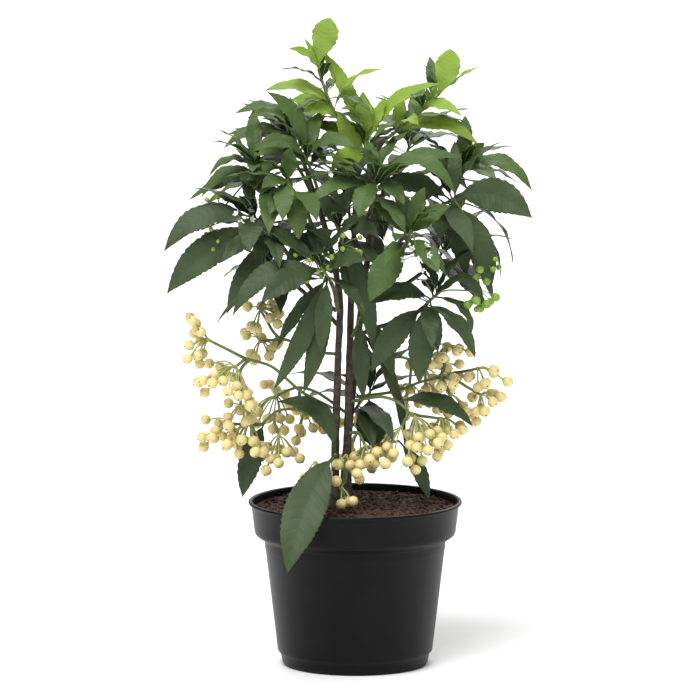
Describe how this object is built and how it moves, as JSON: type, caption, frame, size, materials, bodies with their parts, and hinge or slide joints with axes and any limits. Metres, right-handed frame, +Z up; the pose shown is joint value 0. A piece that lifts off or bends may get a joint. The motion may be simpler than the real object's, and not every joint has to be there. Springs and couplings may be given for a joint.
{
  "type": "potted berry shrub",
  "caption": "Small evergreen shrub with arching toothed leaves and drooping clusters of pale round berries, growing in a round tapered nursery pot.",
  "frame": {"origin": "middle of the pot's flat underside, on the floor", "axes": "+Z up, +X to the plant's right as the picture shows it, -Y towards the viewer"},
  "size_m": [0.2389, 0.194, 0.427],
  "materials": {
    "pot": "satin black moulded plastic",
    "soil": "dark crumbly peat",
    "bark": "grey-brown bark",
    "young_bark": "green-brown young bark",
    "leaves_young": "glossy yellow-green leaf",
    "leaves_mid": "glossy green leaf",
    "leaves_old": "glossy dark green leaf",
    "berries": "smooth cream-yellow berry on a green stalk"
  },
  "bodies": {
    "root": {"pot": "pot", "soil": "soil", "stem_left": "bark", "stem_right": "bark", "stem_back": "bark", "bough_right_crest": "young_bark", "bough_left_back": "young_bark", "bough_left": "young_bark", "bough_left_low": "young_bark", "bough_left_middle": "young_bark", "bough_front": "young_bark", "bough_right_upper": "young_bark", "bough_right": "young_bark", "bough_right_front": "young_bark", "bough_right_low": "young_bark", "bough_front_left": "young_bark", "bough_back_left_upper": "young_bark", "bough_back_right_upper": "young_bark", "bough_back_middle": "young_bark", "bough_back_left_low": "young_bark", "bough_back_right_low": "young_bark", "leaves_crest": "leaves_young", "leaves_heart": "leaves_young", "leaves_right_crest": "leaves_young", "leaves_left_crest": "leaves_young", "leaves_left_back": "leaves_mid", "leaves_left": "leaves_mid", "leaves_left_low": "leaves_old", "leaves_left_middle": "leaves_mid", "leaves_front": "leaves_mid", "leaves_right_upper": "leaves_mid", "leaves_right": "leaves_old", "leaves_right_front": "leaves_mid", "leaves_right_low": "leaves_old", "leaves_front_left": "leaves_old", "leaves_centre": "leaves_old", "leaves_middle": "leaves_old", "leaves_low_front": "leaves_old", "leaves_low_right": "leaves_old", "leaves_low_behind": "leaves_old", "leaves_back_left_upper": "leaves_mid", "leaves_back_right_upper": "leaves_mid", "leaves_back_middle": "leaves_old", "leaves_back_left_low": "leaves_old", "leaves_back_right_low": "leaves_old", "fruit_left": "berries", "fruit_left_behind": "berries", "fruit_left_low": "berries", "fruit_front_left": "berries", "fruit_front_low": "berries", "fruit_front": "berries", "fruit_front_right": "berries", "fruit_right": "berries", "fruit_back_left": "berries", "fruit_back_right": "berries", "fruit_back": "berries"}
  },
  "joints": []
}
